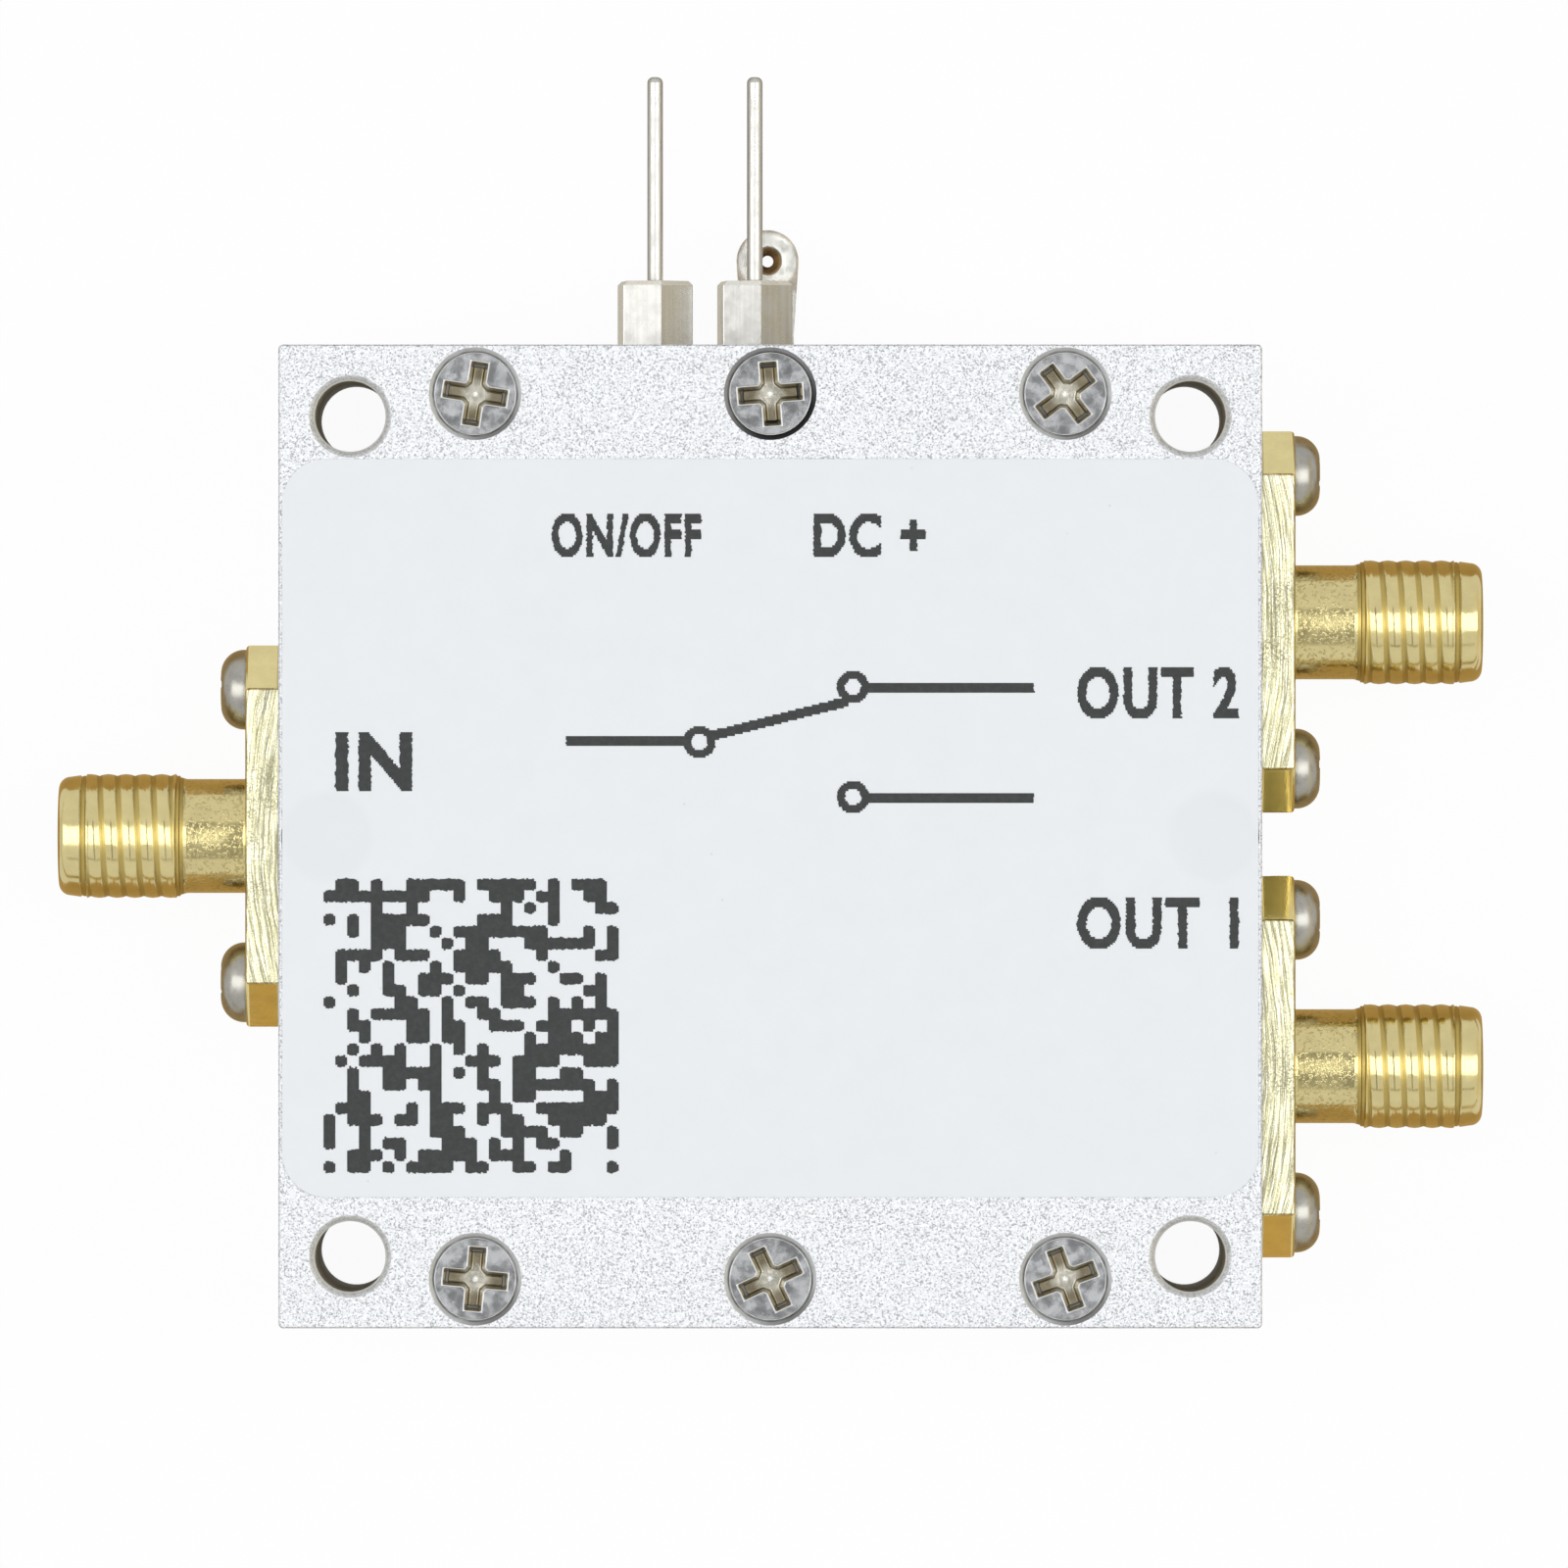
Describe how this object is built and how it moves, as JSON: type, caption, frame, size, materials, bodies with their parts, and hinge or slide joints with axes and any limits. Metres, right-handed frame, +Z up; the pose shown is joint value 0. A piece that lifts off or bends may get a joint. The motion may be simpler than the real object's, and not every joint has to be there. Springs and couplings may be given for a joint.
{
  "type": "coaxial switch module",
  "caption": "Square milled-aluminium box with a screwed lid, coaxial flange jacks on two sides and wire terminals on a third, switching one signal between two outputs.",
  "frame": {"origin": "centre of the housing's bottom face", "axes": "+Z up through the lid, +X towards the two output jacks, +Y towards the wire terminals"},
  "size_m": [0.0728, 0.0638, 0.0151],
  "materials": {
    "box_metal": "milled, clear passivated",
    "lid_metal": "bead blasted silver",
    "label_film": "glossy off-white film with dark grey print",
    "lid_screw_steel": "polished nickel-plated steel",
    "pan_screw_steel": "nickel-plated steel",
    "gold_plate": "gold-plated brass",
    "white_insulator": "white fluoropolymer",
    "gold_contact": "gold-plated, polished",
    "nickel_plate": "bright tin over brass",
    "dark_bead": "dark resin",
    "tinned_wire": "tinned copper wire",
    "tinned_stud": "tinned brass",
    "board_laminate": "green solder resist on glass laminate",
    "copper": "gold-flashed copper",
    "chip_black": "moulded black",
    "capacitor_ceramic": "tan ceramic with tinned ends",
    "resistor_black": "black with tinned ends",
    "solder": "bright solder"
  },
  "bodies": {
    "housing_body": {"board_screw_1": "pan_screw_steel", "board_screw_2": "pan_screw_steel", "board_screw_3": "pan_screw_steel", "board_screw_4": "pan_screw_steel", "circuit_board": "board_laminate", "common_capacitor": "capacitor_ceramic", "common_flange_screw_1": "pan_screw_steel", "common_flange_screw_2": "pan_screw_steel", "common_jack_contact": "gold_contact", "common_jack_insulator": "white_insulator", "common_jack_shell": "gold_plate", "common_solder": "solder", "control_feed_bead": "dark_bead", "control_feed_shell": "nickel_plate", "control_lead": "tinned_wire", "control_resistor": "resistor_black", "control_solder": "solder", "copper_tracks": "copper", "earth_stud": "tinned_stud", "housing": "box_metal", "logic_chip": "chip_black", "port_1_capacitor": "capacitor_ceramic", "port_1_flange_screw_1": "pan_screw_steel", "port_1_flange_screw_2": "pan_screw_steel", "port_1_jack_contact": "gold_contact", "port_1_jack_insulator": "white_insulator", "port_1_jack_shell": "gold_plate", "port_1_solder": "solder", "port_2_capacitor": "capacitor_ceramic", "port_2_flange_screw_1": "pan_screw_steel", "port_2_flange_screw_2": "pan_screw_steel", "port_2_jack_contact": "gold_contact", "port_2_jack_insulator": "white_insulator", "port_2_jack_shell": "gold_plate", "port_2_solder": "solder", "supply_capacitor": "capacitor_ceramic", "supply_feed_bead": "dark_bead", "supply_feed_shell": "nickel_plate", "supply_lead": "tinned_wire", "supply_solder": "solder", "switch_chip": "chip_black"},
    "lid_body": {"lid": "lid_metal", "label": "label_film", "hidden_screw_left": "lid_screw_steel", "hidden_screw_right": "lid_screw_steel"},
    "screw_1_body": {"lid_screw_1": "lid_screw_steel"},
    "screw_2_body": {"lid_screw_2": "lid_screw_steel"},
    "screw_3_body": {"lid_screw_3": "lid_screw_steel"},
    "screw_4_body": {"lid_screw_4": "lid_screw_steel"},
    "screw_5_body": {"lid_screw_5": "lid_screw_steel"},
    "screw_6_body": {"lid_screw_6": "lid_screw_steel"}
  },
  "joints": [
    {"name": "lid_lift", "type": "slide", "parent": "housing_body", "child": "lid_body", "axis": [0, 0, 1], "range_m": [0, 0.03]},
    {"name": "screw_1_out", "type": "slide", "parent": "lid_body", "child": "screw_1_body", "axis": [0, 0, 1], "range_m": [0, 0.008]},
    {"name": "screw_2_out", "type": "slide", "parent": "lid_body", "child": "screw_2_body", "axis": [0, 0, 1], "range_m": [0, 0.008]},
    {"name": "screw_3_out", "type": "slide", "parent": "lid_body", "child": "screw_3_body", "axis": [0, 0, 1], "range_m": [0, 0.008]},
    {"name": "screw_4_out", "type": "slide", "parent": "lid_body", "child": "screw_4_body", "axis": [0, 0, 1], "range_m": [0, 0.008]},
    {"name": "screw_5_out", "type": "slide", "parent": "lid_body", "child": "screw_5_body", "axis": [0, 0, 1], "range_m": [0, 0.008]},
    {"name": "screw_6_out", "type": "slide", "parent": "lid_body", "child": "screw_6_body", "axis": [0, 0, 1], "range_m": [0, 0.008]}
  ]
}
